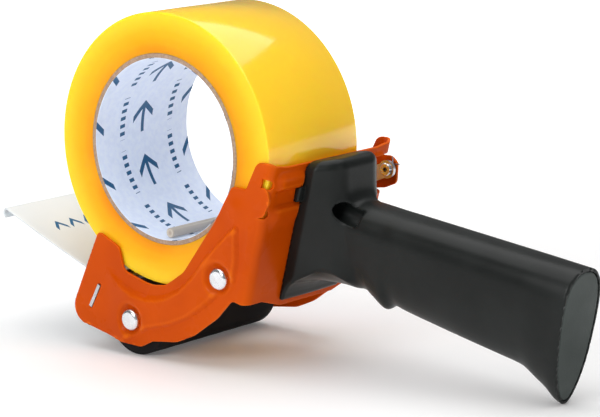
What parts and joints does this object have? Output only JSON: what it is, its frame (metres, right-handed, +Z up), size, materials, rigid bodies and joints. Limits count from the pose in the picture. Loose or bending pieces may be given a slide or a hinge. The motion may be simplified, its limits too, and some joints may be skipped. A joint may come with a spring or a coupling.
{
  "type": "tape dispenser",
  "caption": "Hand-held packing tape dispenser: stamped U frame with a tape roll, rubber application roller, serrated blade, clear tape flap, sprung hold-down arm and pistol handle.",
  "frame": {"origin": "centre of the bounding box, on the surface it stands on", "axes": "+X forward from the handle to the tip of the tape flap, +Y towards the open loading side, +Z up"},
  "size_m": [0.281, 0.0844, 0.1477],
  "materials": {
    "painted_steel": "glossy orange powder coat on steel sheet",
    "plated_steel": "bright plated rivets and rods",
    "roller_rubber": "matte black rubber",
    "dark_plastic": "black moulded plastic",
    "white_plastic": "white nylon",
    "bracket_steel": "zinc-plated steel sheet",
    "blade_steel": "ground spring steel",
    "flap_plastic": "clear, slightly milky plastic sheet",
    "sleeve_plastic": "beige plastic sleeve",
    "spring_steel": "bright spring wire",
    "handle_plastic": "satin black moulded plastic",
    "cap_plastic": "fine matte charcoal plastic",
    "screw_steel": "dark plated steel screws",
    "core_cardboard": "spiral-wound cardboard with a white printed liner",
    "tape_film": "wound yellow adhesive film, glossy outside"
  },
  "bodies": {
    "frame_body": {"frame": "painted_steel", "tie_rod": "plated_steel", "roller_axle": "plated_steel", "roller_washers": "white_plastic", "blade_bracket": "bracket_steel", "blade": "blade_steel", "blade_rivets": "plated_steel", "flap_root": "flap_plastic", "flap_clamp_bar": "bracket_steel", "flap_rivets": "plated_steel", "pivot_rivet": "plated_steel", "torsion_spring": "spring_steel", "handle_body": "handle_plastic", "handle_end_cap": "cap_plastic", "handle_screws": "screw_steel", "handle_washers": "screw_steel"},
    "tape_roll": {"tape_core": "core_cardboard", "tape_winding": "tape_film"},
    "front_roller": {"roller_sleeve": "roller_rubber", "roller_tube": "dark_plastic", "roller_bushings": "dark_plastic"},
    "hold_down_arm": {"hold_down_lever": "bracket_steel", "core_rod": "plated_steel", "rod_sleeve": "sleeve_plastic"},
    "flap": {"tape_flap": "flap_plastic"}
  },
  "joints": [
    {"name": "tape_roll_spin", "type": "hinge", "parent": "frame_body", "child": "tape_roll", "pos_m": [0.043, 0, 0.0904], "axis": [0, 1, 0], "continuous": true},
    {"name": "front_roller_spin", "type": "hinge", "parent": "frame_body", "child": "front_roller", "pos_m": [0.0621, 0, 0.016], "axis": [0, 1, 0], "continuous": true},
    {"name": "hold_down_swing", "type": "hinge", "parent": "frame_body", "child": "hold_down_arm", "pos_m": [-0.0165, 0, 0.077], "axis": [0, -1, 0], "range_deg": [0, 35], "stiffness_Nm_per_rad": 0.04, "springref_deg": -34.38},
    {"name": "flap_flex", "type": "hinge", "parent": "frame_body", "child": "flap", "pos_m": [0.08691, 0, 0.03372], "axis": [0, -1, 0], "range_deg": [-12, 15], "stiffness_Nm_per_rad": 0.06}
  ]
}
